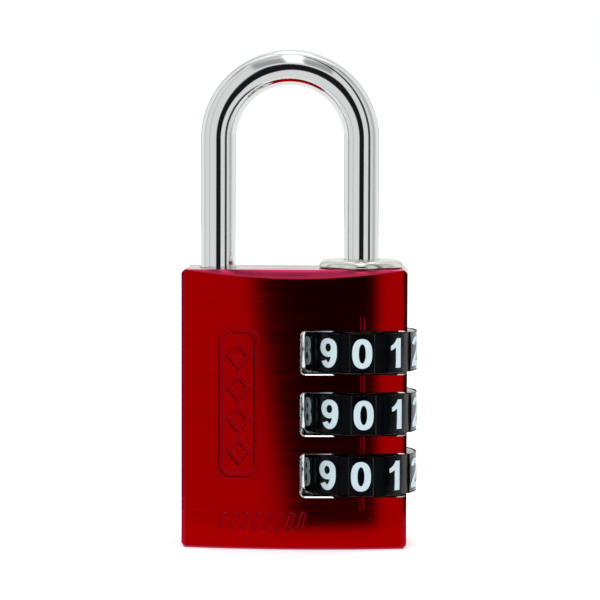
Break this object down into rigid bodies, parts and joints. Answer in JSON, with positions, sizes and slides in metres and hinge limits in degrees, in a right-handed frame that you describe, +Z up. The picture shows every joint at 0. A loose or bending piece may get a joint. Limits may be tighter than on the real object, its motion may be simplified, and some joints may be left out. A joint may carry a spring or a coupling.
{
  "type": "combination padlock",
  "caption": "Small resettable combination padlock: rounded metal body, side-mounted number wheels on one axis, and a round shackle whose long leg lifts when the code lines up.",
  "frame": {"origin": "centre of the body's flat bottom face", "axes": "+Z up along the shackle legs; -Y is the front with the index line; +X is the side where the number wheels stick out"},
  "size_m": [0.0314, 0.0154, 0.0663],
  "materials": {
    "red_anodised_aluminium": "finely brushed, red anodised",
    "bare_aluminium": "milled bright",
    "chromed_steel": "polished",
    "nickel_plate": "polished, slightly warm",
    "black_plastic": "satin moulded",
    "white_print": "filled numerals",
    "brass": "machined",
    "bright_steel": "ground",
    "spring_steel": "drawn wire"
  },
  "bodies": {
    "lock": {"lock_body": "red_anodised_aluminium", "shackle_collar": "nickel_plate", "reset_spring": "spring_steel", "detent_spring_1": "spring_steel", "detent_spring_2": "spring_steel", "detent_spring_3": "spring_steel"},
    "shackle": {"shackle": "chromed_steel", "lug_pin_1": "bright_steel", "lug_pin_2": "bright_steel", "lug_pin_3": "bright_steel"},
    "wheel_1": {"number_wheel_1": "black_plastic"},
    "wheel_2": {"number_wheel_2": "black_plastic"},
    "wheel_3": {"number_wheel_3": "black_plastic"},
    "reset_carriage": {"thrust_washer": "bright_steel"},
    "clutch_1": {"clutch_sleeve_1": "brass"},
    "clutch_2": {"clutch_sleeve_2": "brass"},
    "clutch_3": {"clutch_sleeve_3": "brass"},
    "detent_1": {"detent_ball_1": "bright_steel"},
    "detent_2": {"detent_ball_2": "bright_steel"},
    "detent_3": {"detent_ball_3": "bright_steel"}
  },
  "joints": [
    {"name": "shackle_lift", "type": "slide", "parent": "lock", "child": "shackle", "axis": [0, 0, 1], "range_m": [0, 0.008]},
    {"name": "wheel_1_turn", "type": "hinge", "parent": "lock", "child": "wheel_1", "pos_m": [0.00875, 0, 0.0262], "axis": [0, 0, 1], "continuous": true},
    {"name": "wheel_2_turn", "type": "hinge", "parent": "lock", "child": "wheel_2", "pos_m": [0.00875, 0, 0.01805], "axis": [0, 0, 1], "continuous": true},
    {"name": "wheel_3_turn", "type": "hinge", "parent": "lock", "child": "wheel_3", "pos_m": [0.00875, 0, 0.0099], "axis": [0, 0, 1], "continuous": true},
    {"name": "code_reset", "type": "slide", "parent": "lock", "child": "reset_carriage", "axis": [0, 0, -1], "range_m": [0, 0.0015], "stiffness_N_per_m": 800, "springref_m": -0.0015, "deforming": ["reset_spring"]},
    {"name": "clutch_1_turn", "type": "hinge", "parent": "reset_carriage", "child": "clutch_1", "pos_m": [0.00875, 0, 0.0262], "axis": [0, 0, 1], "continuous": true},
    {"name": "clutch_2_turn", "type": "hinge", "parent": "reset_carriage", "child": "clutch_2", "pos_m": [0.00875, 0, 0.01805], "axis": [0, 0, 1], "continuous": true},
    {"name": "clutch_3_turn", "type": "hinge", "parent": "reset_carriage", "child": "clutch_3", "pos_m": [0.00875, 0, 0.0099], "axis": [0, 0, 1], "continuous": true},
    {"name": "detent_1_push", "type": "slide", "parent": "lock", "child": "detent_1", "axis": [1, 0, 0], "range_m": [-0.0004, 0], "stiffness_N_per_m": 150, "springref_m": 0.001, "deforming": ["detent_spring_1"]},
    {"name": "detent_2_push", "type": "slide", "parent": "lock", "child": "detent_2", "axis": [1, 0, 0], "range_m": [-0.0004, 0], "stiffness_N_per_m": 150, "springref_m": 0.001, "deforming": ["detent_spring_2"]},
    {"name": "detent_3_push", "type": "slide", "parent": "lock", "child": "detent_3", "axis": [1, 0, 0], "range_m": [-0.0004, 0], "stiffness_N_per_m": 150, "springref_m": 0.001, "deforming": ["detent_spring_3"]}
  ],
  "couplings": [
    {"joint": "clutch_1_turn", "follows": "wheel_1_turn", "ratio": 1},
    {"joint": "clutch_2_turn", "follows": "wheel_2_turn", "ratio": 1},
    {"joint": "clutch_3_turn", "follows": "wheel_3_turn", "ratio": 1}
  ]
}
